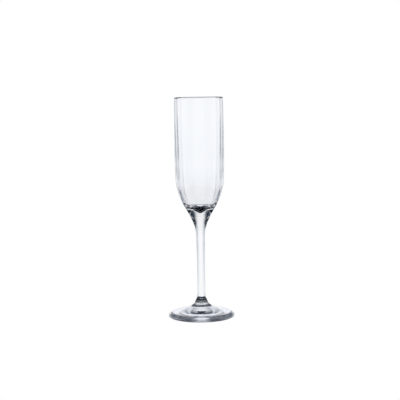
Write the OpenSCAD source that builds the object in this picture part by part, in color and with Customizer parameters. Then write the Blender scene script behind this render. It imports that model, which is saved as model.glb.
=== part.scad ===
// Champagne flute: a tall optic bowl on a solid stem and a round foot.
// The origin is on the axis, in the plane the foot rests on, with +Z up.

/* [Overall] */
// Height from the table to the rim
flute_h = 225; // [205:1:245]

/* [Bowl] */
// Height of the bowl, from its joint with the stem to the rim
bowl_h = 112; // [100:1:120]
// Widest outside diameter of the bowl
bowl_d = 50.5; // [47:0.5:56]
// Outside diameter just below the rim
rim_d = 49.8; // [46:0.2:50.2]
// Outside diameter at the joint with the stem
seat_d = 30.8; // [28:0.2:32]
// Wall thickness where the side is widest, measured in the middle of an optic panel
wall_t = 2.8; // [2:0.1:3.2]
// Thickness at the rim
lip_t = 2.4; // [1.6:0.1:2.8]
// Number of optic panels inside the bowl
panels = 24; // [16:2:32]

/* [Stem] */
// Diameter in the middle of the stem
stem_d = 8.3; // [7:0.1:10]
// Diameter of the collar where the stem meets the foot
collar_d = 18.2; // [17:0.2:19.4]

/* [Foot] */
// Diameter of the foot
foot_d = 67.5; // [60:0.5:76]
// Thickness of the foot's edge
edge_t = 2.7; // [2.2:0.1:3.4]
// Height of the joint between the foot and the stem
boss_h = 12.4; // [11.6:0.2:14]
// Hollow under the middle of the foot
hollow_h = 2.8; // [0.8:0.1:3.2]

/* [Hidden] */

$fn = 96;
glass = [0.86, 0.90, 0.94, 0.5];

bowl_r = bowl_d / 2;
rim_r = rim_d / 2;
seat_r = seat_d / 2;
seat_z = flute_h - bowl_h;
stem_r = stem_d / 2;
collar_r = collar_d / 2;
foot_r = foot_d / 2;
lip_r = rim_r - lip_t;

// Heights where the bowl's side is at its widest
belly_low = seat_z + 62;
belly_high = seat_z + 80;

// The floor of the drinking space: a shallow pan with a small pit on the axis
floor_z = seat_z - 3.5;
pan_z = seat_z + 0.5;

// The bowl's domed bottom sits in a dish of the same radius in the stem.
dome_drop = 7.5;
dome_ball = (seat_r * seat_r + dome_drop * dome_drop) / (2 * dome_drop);

// The stem's end sits in a shallow dish in the foot's boss.
plug_drop = 1.6;
plug_ball = (collar_r * collar_r + plug_drop * plug_drop) / (2 * plug_drop);

// The foot rests on a flat ring near its edge.
ring_in = foot_r - 5.4;
ring_out = foot_r - 2.4;

// The foot's top passes through this height, halfway from the collar to the edge.
mid_r = (foot_r + collar_r) / 2;
mid_z = edge_t + 0.33 * (boss_h - edge_t);

// The curve below: how far apart two points lie on it, and a value partway between two others
function span(a, b) = sqrt(max(norm(b - a), 0.001));
function between(a, b, at, from, to) = ((to - at) * a + (at - from) * b) / (to - from);

// A smooth curve of points [radius, height] through all of p, in n steps from each one to the next
function through(p, n) = concat(
    [for (i = [0:len(p) - 2])
        let (b = p[i], c = p[i + 1],
             a = i > 0 ? p[i - 1] : 2 * b - c,
             d = i < len(p) - 2 ? p[i + 2] : 2 * c - b,
             t1 = span(a, b), t2 = t1 + span(b, c), t3 = t2 + span(c, d))
        for (k = [0:n - 1])
            let (t = t1 + (t2 - t1) * k / n,
                 ab = between(a, b, t, 0, t1), bc = between(b, c, t, t1, t2), cd = between(c, d, t, t2, t3))
            between(between(ab, bc, t, 0, t2), between(bc, cd, t, t1, t3), t, t1, t2)],
    [p[len(p) - 1]]
);

// A ball cap that hangs below height z, drop deep at the axis and r wide.
module cap(r, drop, ball, z) {
    intersection() {
        translate([0, 0, z - drop + ball]) sphere(r = ball);
        translate([0, 0, z - drop]) cylinder(r = r, h = drop);
    }
}

// Outside of the bowl from its joint up to the lip, then over the rounded lip, closed along the axis.
bowl_outline = concat(
    [[0, seat_z]],
    through([[seat_r, seat_z], [bowl_r - 6.95, seat_z + 5.3], [bowl_r - 3.25, seat_z + 15],
        [bowl_r - 1.35, seat_z + 22], [bowl_r - 0.3, seat_z + 34], [bowl_r, belly_low],
        [bowl_r, belly_high], [rim_r + 0.2, flute_h - 12], [rim_r, flute_h - lip_t / 2]], 3),
    [for (a = [15:15:90]) [rim_r - lip_t / 2 + lip_t / 2 * cos(a), flute_h - lip_t / 2 + lip_t / 2 * sin(a)]],
    [[0, flute_h]]
);

// Half of the drinking space from its floor to above the rim: x is the distance from the axis to a panel.
cavity_half = concat(
    through([[0, floor_z], [1.2, floor_z + 0.6], [4.2, pan_z - 1], [8, pan_z], [12, pan_z + 1.2],
        [15, seat_z + 4.8], [bowl_r - 7.2, seat_z + 14], [bowl_r - 5.4, seat_z + 20.5],
        [bowl_r - wall_t - 1.85, seat_z + 29], [bowl_r - wall_t - 0.95, seat_z + 50],
        [bowl_r - wall_t, belly_high], [lip_r, flute_h - lip_t / 2]], 2),
    [[lip_r, flute_h + 1]]
);

module drinking_space() {
    outline = concat(cavity_half, [for (i = [len(cavity_half) - 1:-1:1]) [-cavity_half[i][0], cavity_half[i][1]]]);
    intersection_for (i = [0:panels / 2 - 1])
        rotate([90, 0, (i + 0.5) * 360 / panels])
            linear_extrude(height = 2 * bowl_d, center = true) polygon(outline);
}

module bowl() {
    color(glass) difference() {
        union() {
            rotate_extrude() polygon(bowl_outline);
            cap(seat_r, dome_drop, dome_ball, seat_z);
        }
        drinking_space();
    }
}

// Outside of the stem, from its collar up to the rim of its dish.
stem_outline = concat(
    [[0, boss_h]],
    through([[collar_r, boss_h], [stem_r + 3.2, boss_h + 1.2], [stem_r + 2.1, boss_h + 3.8],
        [stem_r + 0.5, boss_h + 7], [stem_r + 0.02, boss_h + 12.6], [stem_r, seat_z - 63],
        [stem_r + 0.2, seat_z - 43], [stem_r + 0.6, seat_z - 26], [stem_r + 2.15, seat_z - 18.3],
        [seat_r - 4.1, seat_z - 7.1], [seat_r, seat_z]], 3),
    [[0, seat_z]]
);

module stem() {
    color(glass) difference() {
        union() {
            rotate_extrude() polygon(stem_outline);
            cap(collar_r, plug_drop, plug_ball, boss_h);
        }
        cap(seat_r, dome_drop, dome_ball, seat_z);
    }
}

// Underside of the foot, its edge, then its top up to the boss.
foot_outline = concat(
    through([[0, hollow_h], [ring_in * 0.28, hollow_h * 1.05], [ring_in * 0.5, hollow_h * 0.6],
        [ring_in * 0.72, 0.15], [ring_in * 0.86, 0.05], [ring_in, 0]], 3),
    through([[ring_out, 0], [foot_r - 0.5, edge_t * 0.17], [foot_r, edge_t * 0.55], [foot_r - 0.25, edge_t * 0.9],
        [foot_r - 2.75, edge_t + 1.9], [foot_r - 5.75, edge_t + 2.5], [mid_r, mid_z],
        [collar_r + 8.4, boss_h - 4.6], [collar_r + 2.8, boss_h - 2], [collar_r, boss_h]], 3),
    [[0, boss_h]]
);

module foot() {
    color(glass) difference() {
        rotate_extrude() polygon(foot_outline);
        cap(collar_r, plug_drop, plug_ball, boss_h);
    }
}

bowl();
stem();
foot();
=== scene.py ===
import math

import bpy
from mathutils import Matrix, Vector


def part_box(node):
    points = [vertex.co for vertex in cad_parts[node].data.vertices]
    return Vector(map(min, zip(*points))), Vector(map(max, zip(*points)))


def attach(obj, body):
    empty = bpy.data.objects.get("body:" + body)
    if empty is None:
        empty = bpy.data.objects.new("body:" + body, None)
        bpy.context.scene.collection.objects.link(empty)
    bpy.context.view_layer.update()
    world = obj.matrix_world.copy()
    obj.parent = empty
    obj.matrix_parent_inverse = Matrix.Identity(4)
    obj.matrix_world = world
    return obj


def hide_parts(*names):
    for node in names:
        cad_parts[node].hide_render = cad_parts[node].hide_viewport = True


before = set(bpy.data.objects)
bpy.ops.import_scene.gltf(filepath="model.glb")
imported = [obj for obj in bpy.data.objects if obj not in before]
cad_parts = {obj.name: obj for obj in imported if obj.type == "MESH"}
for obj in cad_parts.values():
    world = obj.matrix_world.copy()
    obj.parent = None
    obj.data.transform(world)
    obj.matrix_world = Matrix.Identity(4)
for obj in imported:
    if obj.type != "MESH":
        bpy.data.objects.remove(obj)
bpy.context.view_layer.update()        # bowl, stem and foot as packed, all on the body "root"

mm = 0.001
print("frame loaded:", ", ".join(sorted(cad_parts)))

# where the pieces meet, in mm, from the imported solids
stemLow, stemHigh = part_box("stem")
bowlLow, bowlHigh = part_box("bowl")
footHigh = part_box("foot")[1]
seatRadius, seatHeight = stemHigh[0] / mm, stemHigh[2] / mm
seatDrop = seatHeight - bowlLow[2] / mm
plugHeight = footHigh[2] / mm
plugDrop = plugHeight - stemLow[2] / mm
fluteHeight = bowlHigh[2] / mm
footRadius = footHigh[0] / mm


def smoothThrough(points, steps):
    # a rounded line through all the points, with short spans kept tight
    line = []
    last = len(points) - 1
    for i in range(last):
        p1, p2 = points[i], points[i + 1]
        p0 = points[i - 1] if i > 0 else (2 * p1[0] - p2[0], 2 * p1[1] - p2[1])
        p3 = points[i + 2] if i + 2 <= last else (2 * p2[0] - p1[0], 2 * p2[1] - p1[1])
        knots = [0.0]
        for a, b in ((p0, p1), (p1, p2), (p2, p3)):
            knots.append(knots[-1] + max(math.dist(a, b), 1e-6) ** 0.5)
        for k in range(steps):
            t = knots[1] + (knots[2] - knots[1]) * k / steps
            line.append(tuple(splineValue([p0[c], p1[c], p2[c], p3[c]], knots, t) for c in (0, 1)))
    return line + [points[-1]]


def splineValue(v, knots, t):
    def between(a, b, i, j):
        return ((knots[j] - t) * a + (t - knots[i]) * b) / (knots[j] - knots[i])
    a1, a2, a3 = between(v[0], v[1], 0, 1), between(v[1], v[2], 1, 2), between(v[2], v[3], 2, 3)
    return between(between(a1, a2, 0, 2), between(a2, a3, 1, 3), 1, 2)


def domeLine(radius, drop, height, steps):
    # from the axis out to the seat's edge, along a ball that hangs below it
    ball = (radius ** 2 + drop ** 2) / (2 * drop)
    spread = math.asin(radius / ball)
    line = []
    for k in range(steps + 1):
        angle = spread * k / steps
        line.append((ball * math.sin(angle), height - drop + ball - ball * math.cos(angle)))
    return line


def lipLine(outer, inner, top, steps):
    # half round, from the outside over to the inside
    middle, half = (outer + inner) / 2, (outer - inner) / 2
    line = []
    for k in range(steps + 1):
        angle = math.pi * k / steps
        line.append((middle + half * math.cos(angle), top - half + half * math.sin(angle)))
    return line


seatLine = domeLine(seatRadius, seatDrop, seatHeight, steps=16)


def turnedMesh(name, sections, around, stretch=None):
    # sections are (line, material number, panelled); the first starts and the last ends on the axis
    rings = []
    for number, (line, material, panelled) in enumerate(sections):
        for point in line if number == 0 else line[1:]:
            rings.append((point, material, panelled))
    verts = [(0, 0, rings[0][0][1] * mm)]
    for (radius, height), _, panelled in rings[1:-1]:
        for k in range(around):
            turn = k / around
            r = radius * (stretch(height, turn) if panelled else 1) * mm
            verts.append((r * math.sin(2 * math.pi * turn), -r * math.cos(2 * math.pi * turn), height * mm))
    verts.append((0, 0, rings[-1][0][1] * mm))
    faces, faceMaterial = [], []
    count = len(rings) - 2
    for j in range(count + 1):
        for k in range(around):
            k2 = (k + 1) % around
            lower, upper = 1 + (j - 1) * around, 1 + j * around
            if j == 0:
                faces.append((0, upper + k2, upper + k))
            elif j == count:
                faces.append((lower + k, lower + k2, len(verts) - 1))
            else:
                faces.append((lower + k, lower + k2, upper + k2, upper + k))
            faceMaterial.append(rings[j + 1][1])
    mesh = bpy.data.meshes.new(name)
    mesh.from_pydata(verts, [], faces)
    mesh.update()
    mesh.polygons.foreach_set("use_smooth", [True] * len(faces))
    mesh.polygons.foreach_set("material_index", faceMaterial)
    sharpenSeams(mesh, faceMaterial)
    return mesh


def sharpenSeams(mesh, faceMaterial):
    # the wall keeps its own smoothness right up to a joint face
    sides = {}
    for face in mesh.polygons:
        for key in face.edge_keys:
            sides.setdefault(key, set()).add(faceMaterial[face.index])
    for edge in mesh.edges:
        edge.use_edge_sharp = len(sides[tuple(sorted(edge.vertices))]) > 1


def addNode(tree, kind, **settings):
    node = tree.nodes.new(kind)
    for key, value in settings.items():
        setattr(node, key, value)
    return node


def join(tree, fromSocket, toSocket):
    tree.links.new(fromSocket, toSocket)


def addMath(tree, operation, a, b):
    node = addNode(tree, "ShaderNodeMath", operation=operation)
    for socket, value in zip(node.inputs, (a, b)):
        if isinstance(value, (int, float)):
            socket.default_value = value
        else:
            join(tree, value, socket)
    return node.outputs[0]


def mapRange(tree, value, fromMin, fromMax, shape="LINEAR"):
    node = addNode(tree, "ShaderNodeMapRange", interpolation_type=shape)
    node.inputs["From Min"].default_value, node.inputs["From Max"].default_value = fromMin, fromMax
    join(tree, value, node.inputs["Value"])
    return node.outputs["Result"]


def mixColour(tree, factor, a, b):
    node = addNode(tree, "ShaderNodeMix", data_type="RGBA")
    for name, value in (("Factor", factor), ("A", a), ("B", b)):
        join(tree, value, node.inputs[name])
    return node.outputs["Result"]


glassLook = {
    "ior": 1.5,
    "waveHeight": 0.00002,  # metres
    "waveSize": 60.0,
    "waveStretch": 0.15,    # the waves run up the glass
    "hairlines": 0.006,
    "hairlineScale": 900.0,  # about a millimetre
    "scratchFrom": 0.62,    # only the strongest part of the noise is a scratch
    "scratchFull": 0.72,
    "scuffedUpTo": 0.0006,  # metres above the table
}


def makePressedSurface():
    # slow waves left by the mould, fine polishing hairlines, and scuffs where the foot touches the table
    group = bpy.data.node_groups.new("pressedSurface", "ShaderNodeTree")
    for name, kind in (("Wave Size", "NodeSocketFloat"), ("Wave Depth", "NodeSocketFloat"),
                       ("Hairlines", "NodeSocketFloat"), ("Scuffs", "NodeSocketFloat"),
                       ("Clear Tint And Shade", "NodeSocketColor"), ("Deep Tint And Shade", "NodeSocketColor")):
        group.interface.new_socket(name, in_out="INPUT", socket_type=kind)
    for name, kind in (("Tint", "NodeSocketColor"), ("Roughness", "NodeSocketFloat"),
                       ("Height", "NodeSocketFloat")):
        group.interface.new_socket(name, in_out="OUTPUT", socket_type=kind)
    start, end = addNode(group, "NodeGroupInput"), addNode(group, "NodeGroupOutput")
    place = addNode(group, "ShaderNodeTexCoord")
    stretch = addNode(group, "ShaderNodeMapping")
    stretch.inputs["Scale"].default_value = (1, 1, glassLook["waveStretch"])
    join(group, place.outputs["Object"], stretch.inputs["Vector"])
    waves = addNode(group, "ShaderNodeTexNoise")
    waves.inputs["Detail"].default_value = 1.0
    join(group, stretch.outputs["Vector"], waves.inputs["Vector"])
    join(group, start.outputs["Wave Size"], waves.inputs["Scale"])
    lines = addNode(group, "ShaderNodeTexNoise")
    lines.inputs["Scale"].default_value = glassLook["hairlineScale"]
    lines.inputs["Detail"].default_value = 2.0
    join(group, place.outputs["Object"], lines.inputs["Vector"])
    # the tint drifts at random with the slow waves; on the foot both tints also carry painted shade
    tintAndShade = mixColour(group, waves.outputs["Fac"], start.outputs["Clear Tint And Shade"], start.outputs["Deep Tint And Shade"])
    join(group, tintAndShade, end.inputs["Tint"])
    split = addNode(group, "ShaderNodeSeparateXYZ")
    join(group, place.outputs["Object"], split.inputs["Vector"])
    nearTable = mapRange(group, split.outputs["Z"], glassLook["scuffedUpTo"], 0.0)
    scratched = mapRange(group, lines.outputs["Fac"], glassLook["scratchFrom"], glassLook["scratchFull"])
    scuffed = addMath(group, "MULTIPLY", scratched, nearTable)
    scuffs = addMath(group, "MULTIPLY", scuffed, start.outputs["Scuffs"])
    polish = addMath(group, "MULTIPLY", scratched, start.outputs["Hairlines"])
    join(group, addMath(group, "ADD", scuffs, polish), end.inputs["Roughness"])
    height = addMath(group, "MULTIPLY", waves.outputs["Fac"], start.outputs["Wave Depth"])
    join(group, height, end.inputs["Height"])
    return group


pressedSurface = makePressedSurface()


def makeGlass(name, look):
    material = bpy.data.materials.new(name)
    material.use_nodes = True
    tree = material.node_tree
    tree.nodes.clear()
    out = addNode(tree, "ShaderNodeOutputMaterial")
    glass = addNode(tree, "ShaderNodeBsdfPrincipled")
    glass.inputs["Transmission Weight"].default_value = 1.0
    glass.inputs["IOR"].default_value = glassLook["ior"]
    surface = addNode(tree, "ShaderNodeGroup", node_tree=pressedSurface)
    surface.inputs["Wave Size"].default_value = glassLook["waveSize"]
    surface.inputs["Hairlines"].default_value = glassLook["hairlines"]
    surface.inputs["Wave Depth"].default_value = look["waves"]
    surface.inputs["Scuffs"].default_value = look["scuffs"]
    surface.inputs["Clear Tint And Shade"].default_value = (*look["clearTintAndShade"], 1)
    surface.inputs["Deep Tint And Shade"].default_value = (*look["deepTintAndShade"], 1)
    bump = addNode(tree, "ShaderNodeBump")
    bump.inputs["Distance"].default_value = glassLook["waveHeight"]
    # the glass colour: on the foot it holds painted shade, darker and bluer than on the bowl and stem
    join(tree, surface.outputs["Tint"], glass.inputs["Base Color"])
    join(tree, surface.outputs["Roughness"], glass.inputs["Roughness"])
    join(tree, surface.outputs["Height"], bump.inputs["Height"])
    join(tree, bump.outputs["Normal"], glass.inputs["Normal"])
    join(tree, glass.outputs["BSDF"], out.inputs["Surface"])
    return material


def makeFusedFace():
    # glass runs straight through a fused joint, so its faces show nothing
    material = bpy.data.materials.new("fusedFace")
    material.use_nodes = True
    tree = material.node_tree
    tree.nodes.clear()
    out = addNode(tree, "ShaderNodeOutputMaterial")
    clear = addNode(tree, "ShaderNodeBsdfTransparent")
    join(tree, clear.outputs["BSDF"], out.inputs["Surface"])
    return material


fusedFace = makeFusedFace()


def addPiece(name, mesh, glass, node):
    for material in (glass, fusedFace):
        mesh.materials.append(material)
    piece = bpy.data.objects.new(name, mesh)
    bpy.context.scene.collection.objects.link(piece)
    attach(piece, "root")
    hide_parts(node)
    print("made", name, "with", len(mesh.polygons), "faces")
    return piece


# outlines are in mm, as steps from the widest radius and from where the pieces meet
bowlLook = {
    "widestRadius": 25.25,
    # (inset from the widest radius, height above the joint with the stem)
    "side": [(6.95, 5.3), (5.05, 9.8), (3.25, 15.0), (2.25, 18.3), (1.35, 22.0), (0.75, 27.0), (0.3, 34.0),
             (0.1, 44.0), (0.0, 62.0), (0.0, 82.0), (0.15, 100.0)],
    "rimInset": 0.4,
    "lipThickness": 2.45,
    "topGap": 0.02,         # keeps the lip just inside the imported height
    # the inner wall, from near the rim down to the pan
    "inside": [(2.75, 100.0), (2.85, 82.0), (3.25, 65.0), (3.75, 50.0), (4.15, 37.0), (4.65, 29.0),
               (5.45, 20.5), (7.2, 14.0), (8.85, 8.5), (10.25, 4.8)],
    # the pan and the small pit in it: (radius, height above the joint)
    "floor": [(12.0, 1.7), (10.0, 1.0), (8.0, 0.5), (6.0, 0.2), (4.2, -0.45), (2.4, -1.9), (1.2, -2.9),
              (0.0, -3.5)],
    "panels": 24,           # flat optic panels round the inside
    "stepsPerPanel": 12,
    "panelsFrom": 114.0,    # the panels fade in above the cavity floor
    "panelsFull": 128.0,
    "panelsStop": 224.5,    # and fade out just under the lip
    "lipFade": 2.0,
    "waves": 0.5,
    "scuffs": 0.0,
    "clearTintAndShade": (0.975, 0.985, 1.0),
    "deepTintAndShade": (0.97, 0.982, 1.0),
}


def fromBowl(pairs):
    return [(bowlLook["widestRadius"] - inset, seatHeight + rise) for inset, rise in pairs]


def panelStretch(height, turn):
    # how far a flat panel's corners stand out past its middle
    panels = bowlLook["panels"]
    part = (turn * panels) % 1.0 - 0.5
    fadeIn = (height - bowlLook["panelsFrom"]) / (bowlLook["panelsFull"] - bowlLook["panelsFrom"])
    fadeOut = (bowlLook["panelsStop"] - height) / bowlLook["lipFade"]
    amount = min(1.0, max(0.0, fadeIn)) * min(1.0, max(0.0, fadeOut))
    return 1 + (1 / math.cos(part * 2 * math.pi / panels) - 1) * amount


def makeBowl():
    # joint dome, outside, lip, panelled inside, cavity floor
    rimRadius = bowlLook["widestRadius"] - bowlLook["rimInset"]
    lipTop = fluteHeight - bowlLook["topGap"]
    lip = lipLine(rimRadius, rimRadius - bowlLook["lipThickness"], lipTop, steps=12)
    outside = smoothThrough([seatLine[-1]] + fromBowl(bowlLook["side"]) + [lip[0]], steps=9)
    floor = [(radius, seatHeight + rise) for radius, rise in bowlLook["floor"]]
    inside = smoothThrough([lip[-1]] + fromBowl(bowlLook["inside"]) + floor, steps=8)
    sections = [(seatLine, 1, False), (outside, 0, False), (lip, 0, False), (inside, 0, True)]
    mesh = turnedMesh("bowl", sections, bowlLook["panels"] * bowlLook["stepsPerPanel"], panelStretch)
    return addPiece("flute_bowl", mesh, makeGlass("bowlGlass", bowlLook), "bowl")


stemLook = {
    "collarRadius": 9.05,   # where the stem's domed end meets the foot
    # (radius, height above the joint with the foot)
    "low": [(7.35, 1.2), (6.75, 2.5), (6.3, 3.8), (5.65, 5.2), (4.7, 7.0), (4.18, 8.9), (4.17, 12.6),
            (4.12, 22.6), (4.14, 37.6), (4.2, 49.6), (4.35, 57.6), (4.58, 65.6)],
    # (inset from the joint's radius, distance below the joint with the bowl)
    "head": [(10.65, 26.0), (10.05, 21.5), (9.1, 18.3), (8.0, 15.3), (6.1, 11.2), (4.04, 7.1), (1.7, 3.0)],
    "around": 288,
    "waves": 0.3,
    "scuffs": 0.0,
    "clearTintAndShade": (0.975, 0.985, 1.0),
    "deepTintAndShade": (0.97, 0.982, 1.0),
}
plugLine = domeLine(stemLook["collarRadius"], plugDrop, plugHeight, steps=10)


def makeStem():
    # plug dome, collar, shaft, flaring head, then the dish that takes the bowl
    low = [(radius, plugHeight + rise) for radius, rise in stemLook["low"]]
    head = [(seatRadius - inset, seatHeight - drop) for inset, drop in stemLook["head"]]
    shaft = smoothThrough([plugLine[-1]] + low + head + [seatLine[-1]], steps=8)
    sections = [(plugLine, 1, False), (shaft, 0, False), (seatLine[::-1], 1, False)]
    mesh = turnedMesh("stem", sections, stemLook["around"])
    return addPiece("flute_stem", mesh, makeGlass("stemGlass", stemLook), "stem")


footLook = {
    # the hollow underside: (radius, height above the table)
    "under": [(0.0, 2.8), (8.0, 3.05), (14.0, 1.75), (20.0, 0.15), (24.0, 0.06)],
    "ringInset": (5.4, 2.4),    # the flat ring that the flute stands on, from the edge inward
    # (inset from the edge, height above the table)
    "edge": [(0.55, 0.45), (0.05, 1.5), (0.25, 2.4), (1.05, 3.0), (2.75, 4.75), (5.75, 5.15), (8.75, 5.3),
             (12.75, 5.75)],
    # (distance outside the collar, distance below the joint with the stem)
    "slope": [(7.95, 4.45), (4.95, 2.8), (2.35, 1.8)],
    "around": 288,
    "waves": 0.1,
    "scuffs": 0.1,
    # the foot's tint is darker and bluer than the bowl's and stem's: painted shade for the dim surroundings
    # seen through the foot
    "clearTintAndShade": (0.89, 0.92, 0.985),
    "deepTintAndShade": (0.88, 0.912, 0.98),
}


def makeFoot():
    # hollow underside, resting ring, rounded edge, sloping top, then the dish that takes the stem
    ringStart, ringEnd = [(footRadius - inset, 0.0) for inset in footLook["ringInset"]]
    under = smoothThrough(footLook["under"] + [ringStart], steps=6) + [ringEnd]
    edge = [(footRadius - inset, height) for inset, height in footLook["edge"]]
    slope = [(stemLook["collarRadius"] + out, plugHeight - drop) for out, drop in footLook["slope"]]
    top = smoothThrough([ringEnd] + edge + slope + [plugLine[-1]], steps=8)
    sections = [(under, 0, False), (top, 0, False), (plugLine[::-1], 1, False)]
    mesh = turnedMesh("foot", sections, footLook["around"])
    return addPiece("flute_foot", mesh, makeGlass("footGlass", footLook), "foot")


makeBowl()
makeStem()
makeFoot()

floorLook = {
    "size": 6.0,
    "drop": 0.0002,         # just under the foot
}


def makeFloor():
    half = floorLook["size"] / 2
    corners = [(-half, -half, 0), (half, -half, 0), (half, half, 0), (-half, half, 0)]
    mesh = bpy.data.meshes.new("floor")
    mesh.from_pydata(corners, [], [(0, 1, 2, 3)])
    floor = bpy.data.objects.new("studioFloor", mesh)
    floor.location.z = -floorLook["drop"]
    bpy.context.scene.collection.objects.link(floor)
    material = bpy.data.materials.new("paleFloor")
    material.use_nodes = True
    tree = material.node_tree
    tree.nodes.clear()
    out = addNode(tree, "ShaderNodeOutputMaterial")
    white = addNode(tree, "ShaderNodeEmission")
    join(tree, white.outputs["Emission"], out.inputs["Surface"])
    mesh.materials.append(material)
    # only the camera sees this table: it adds no second horizon inside the glass
    floor.visible_transmission = False
    floor.visible_glossy = False
    floor.visible_diffuse = False
    floor.visible_shadow = False
    return floor


# brightness by degrees above the horizon, toward the four light banks and toward the gaps between them
lightLook = {
    "banks": 4,
    "throughBanks": [(-90, 0.02), (-56, 0.03), (-46, 0.25), (-37, 1), (34, 1), (42, 0.6), (60, 0.5)],
    "throughGaps": [(-90, 0.02), (-56, 0.03), (-46, 0.2), (-37, 1), (-22, 1), (-12, 0.97), (-9, 0.74),
                    (-6, 0.64), (8, 0.64), (15, 0.5), (23, 0.05), (40, 0.03), (50, 0.35)],
    "mirroredBanks": [(-90, 0), (-20, 0.01), (-13, 0.4), (-4, 1), (26, 0.9), (34, 0.3), (42, 0.05),
                      (90, 0.02)],
    "mirroredGaps": [(-90, 0), (-20, 0.01), (-13, 0.37), (-6, 0.8), (2, 0.7), (12, 0.03), (90, 0)],
    "coolShift": (-0.13, -0.05, 0.06),  # darker parts of the sky are bluer
    "coolRamp": 4.0,                    # but the very darkest are neutral
}


def coolGrey(value):
    amount = (1 - value) * min(1, lightLook["coolRamp"] * value)
    return [max(0, value + shift * amount) for shift in lightLook["coolShift"]] + [1]


def skyRamp(tree, rise, stops):
    ramp = addNode(tree, "ShaderNodeValToRGB")
    marks = ramp.color_ramp.elements
    for number, (degrees, value) in enumerate(stops):
        mark = marks[number] if number < 2 else marks.new(1.0)
        mark.position = (math.sin(math.radians(degrees)) + 1) / 2
        mark.color = coolGrey(value)
    join(tree, rise, ramp.inputs["Fac"])
    return ramp.outputs["Color"]


def makeStudioLight():
    world = bpy.data.worlds.new("studioLight")
    bpy.context.scene.world = world
    world.use_nodes = True
    tree = world.node_tree
    tree.nodes.clear()
    out = addNode(tree, "ShaderNodeOutputWorld")
    place = addNode(tree, "ShaderNodeTexCoord")
    split = addNode(tree, "ShaderNodeSeparateXYZ")
    join(tree, place.outputs["Generated"], split.inputs["Vector"])
    rise = mapRange(tree, split.outputs["Z"], -1.0, 1.0)
    turn = addMath(tree, "ARCTAN2", split.outputs["Y"], split.outputs["X"])
    swing = addMath(tree, "COSINE", addMath(tree, "MULTIPLY", turn, lightLook["banks"]), 0)
    toBank = mapRange(tree, swing, -1.0, 1.0, "SMOOTHSTEP")
    # one sky shows through the glass, and rays that the glass has mirrored see a darker one
    through = mixColour(tree, toBank, skyRamp(tree, rise, lightLook["throughGaps"]),
                        skyRamp(tree, rise, lightLook["throughBanks"]))
    mirrored = mixColour(tree, toBank, skyRamp(tree, rise, lightLook["mirroredGaps"]),
                         skyRamp(tree, rise, lightLook["mirroredBanks"]))
    rays = addNode(tree, "ShaderNodeLightPath")
    isMirrored = addMath(tree, "GREATER_THAN", rays.outputs["Glossy Depth"], 0.5)
    around = addNode(tree, "ShaderNodeBackground")
    join(tree, mixColour(tree, isMirrored, through, mirrored), around.inputs["Color"])
    backdrop = addNode(tree, "ShaderNodeBackground")
    backdrop.inputs["Color"].default_value = (1, 1, 1, 1)
    mix = addNode(tree, "ShaderNodeMixShader")
    join(tree, rays.outputs["Is Camera Ray"], mix.inputs["Fac"])
    join(tree, around.outputs[0], mix.inputs[1])
    join(tree, backdrop.outputs[0], mix.inputs[2])
    join(tree, mix.outputs[0], out.inputs["Surface"])


cameraLook = {
    "distance": 1.10,
    "height": 0.2365,
    "down": 6.03,           # degrees
    "roll": 0.86,
    "lens": 97.56,
    "sensor": 36.0,
}


def makeCamera():
    data = bpy.data.cameras.new("studioCamera")
    camera = bpy.data.objects.new("studioCamera", data)
    bpy.context.scene.collection.objects.link(camera)
    data.sensor_width = cameraLook["sensor"]
    data.lens = cameraLook["lens"]
    tilt = Matrix.Rotation(math.radians(90 - cameraLook["down"]), 4, "X")
    roll = Matrix.Rotation(-math.radians(cameraLook["roll"]), 4, "Z")
    spot = Matrix.Translation((0, -cameraLook["distance"], cameraLook["height"]))
    camera.matrix_world = spot @ tilt @ roll
    bpy.context.scene.camera = camera


makeFloor()
makeStudioLight()
makeCamera()
scene = bpy.context.scene
scene.view_settings.view_transform = "Standard"
lightBounces = 32                           # light passes many walls of glass
scene.cycles.max_bounces = lightBounces
scene.cycles.transmission_bounces = lightBounces
scene.cycles.transparent_max_bounces = lightBounces
scene.cycles.glossy_bounces = lightBounces // 2
scene.cycles.sample_clamp_indirect = 0      # keeps the bright sparks in the glass
print("studio ready")
